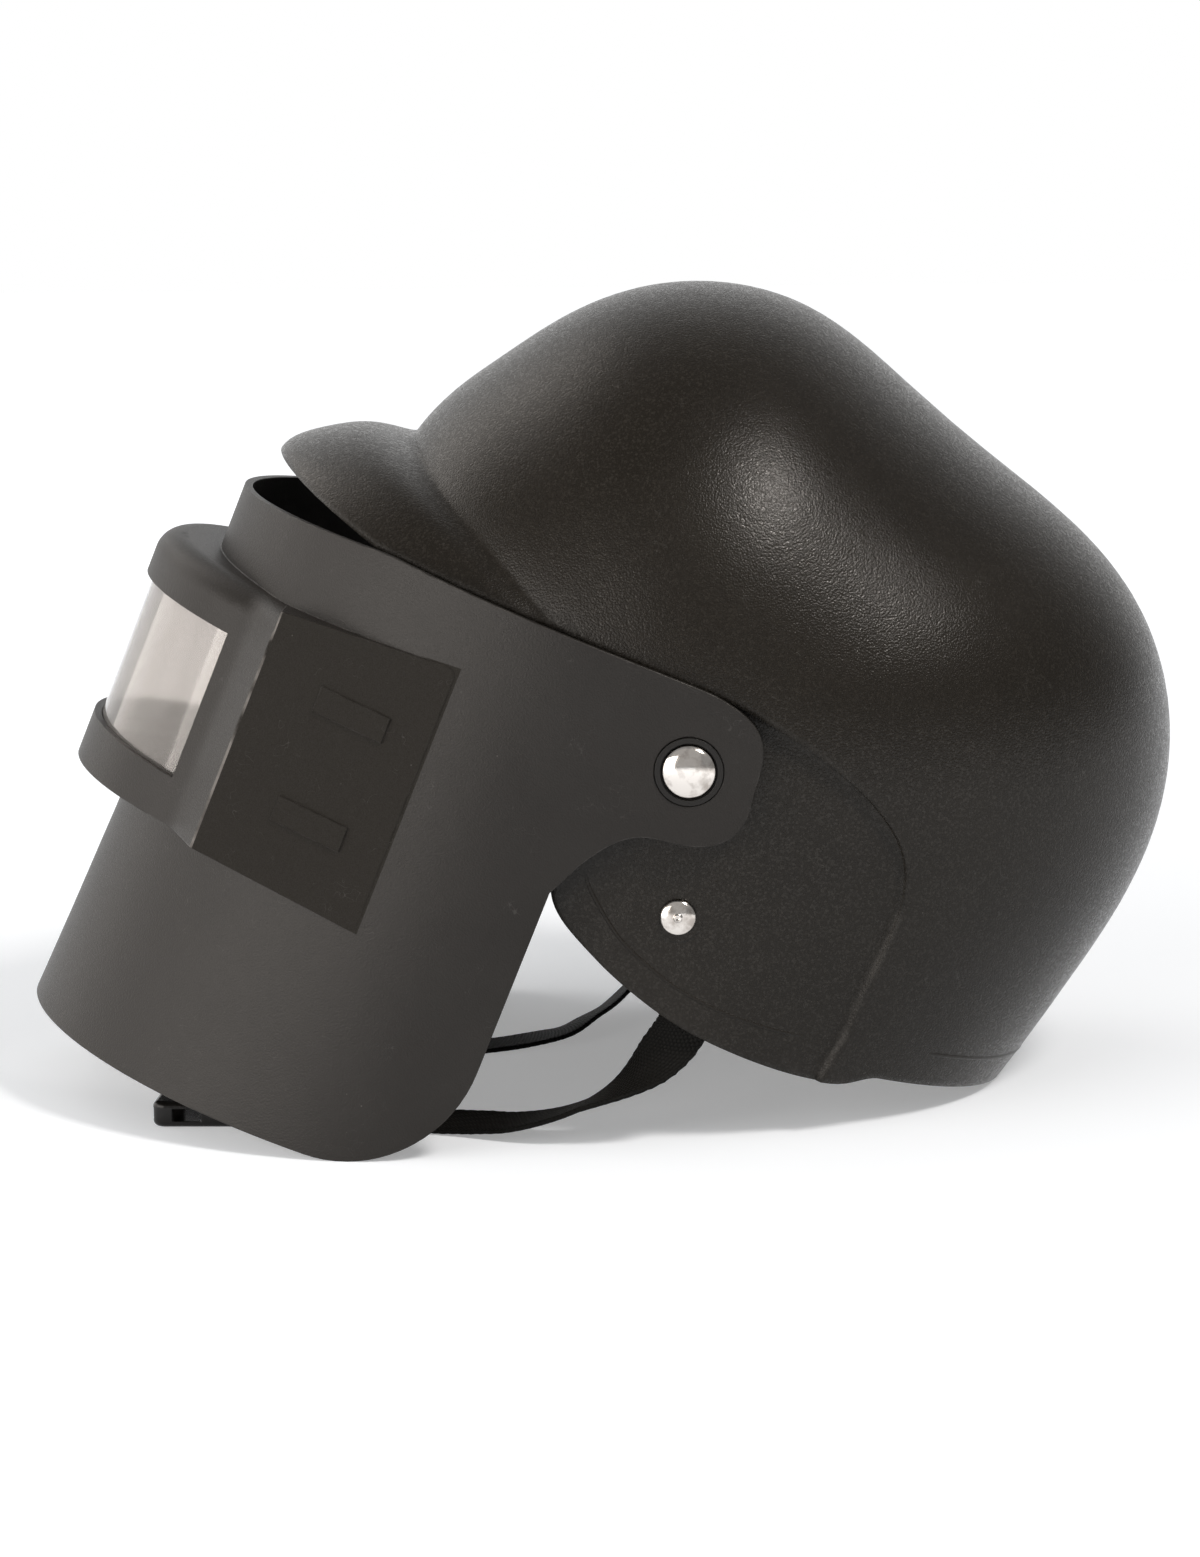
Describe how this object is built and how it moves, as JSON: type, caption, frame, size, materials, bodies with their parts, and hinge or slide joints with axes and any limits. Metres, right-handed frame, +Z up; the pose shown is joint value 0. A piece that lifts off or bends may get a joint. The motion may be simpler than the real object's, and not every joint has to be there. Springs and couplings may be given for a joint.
{
  "type": "riot helmet",
  "caption": "Black riot helmet with a moulded dome and ear flaps, a full face mask that swings up on side pivots, a smoked viewport, a chin strap and padding.",
  "frame": {"origin": "on the floor under the middle of the standing helmet", "axes": "+X to the helmet's left side, +Y to its rear, +Z up; the face looks towards -Y and the helmet leans back as it stands"},
  "size_m": [0.2474, 0.3714, 0.2582],
  "materials": {
    "shell_plastic": "satin moulded",
    "mask_plastic": "satin moulded",
    "lens": "clear, light smoke",
    "steel": "plain",
    "chrome": "polished",
    "bush_plastic": "plain",
    "ring_rubber": "matte",
    "webbing": "woven",
    "buckle_plastic": "gloss",
    "pad_fabric": "brushed loop",
    "hook_tape": "hooked"
  },
  "bodies": {
    "helmet": {"helmet_shell": "shell_plastic", "pivot_washer_left": "steel", "pivot_washer_right": "steel", "strap_washer_left": "steel", "strap_washer_right": "steel", "pivot_post_left": "steel", "pivot_post_right": "steel", "strap_post_left": "steel", "strap_post_right": "steel", "pivot_cap_left": "chrome", "pivot_cap_right": "chrome", "strap_cap_left": "chrome", "strap_cap_right": "chrome", "pivot_bush_left": "bush_plastic", "pivot_bush_right": "bush_plastic", "strap_web_left": "webbing", "strap_web_right": "webbing", "buckle_female": "buckle_plastic", "buckle_male": "buckle_plastic", "crown_pad": "pad_fabric", "brow_pad": "pad_fabric", "nape_pad": "pad_fabric", "temple_pad_left": "pad_fabric", "temple_pad_right": "pad_fabric", "pad_hook_tapes": "hook_tape"},
    "face_mask": {"visor_shell": "mask_plastic", "lens": "lens", "lens_push_washers": "steel", "pivot_ring_left": "ring_rubber", "pivot_ring_right": "ring_rubber"}
  },
  "joints": [
    {"name": "mask_hinge", "type": "hinge", "parent": "helmet", "child": "face_mask", "pos_m": [0, 0.02984, 0.1183], "axis": [-1, 0, 0], "range_deg": [0, 80]}
  ]
}
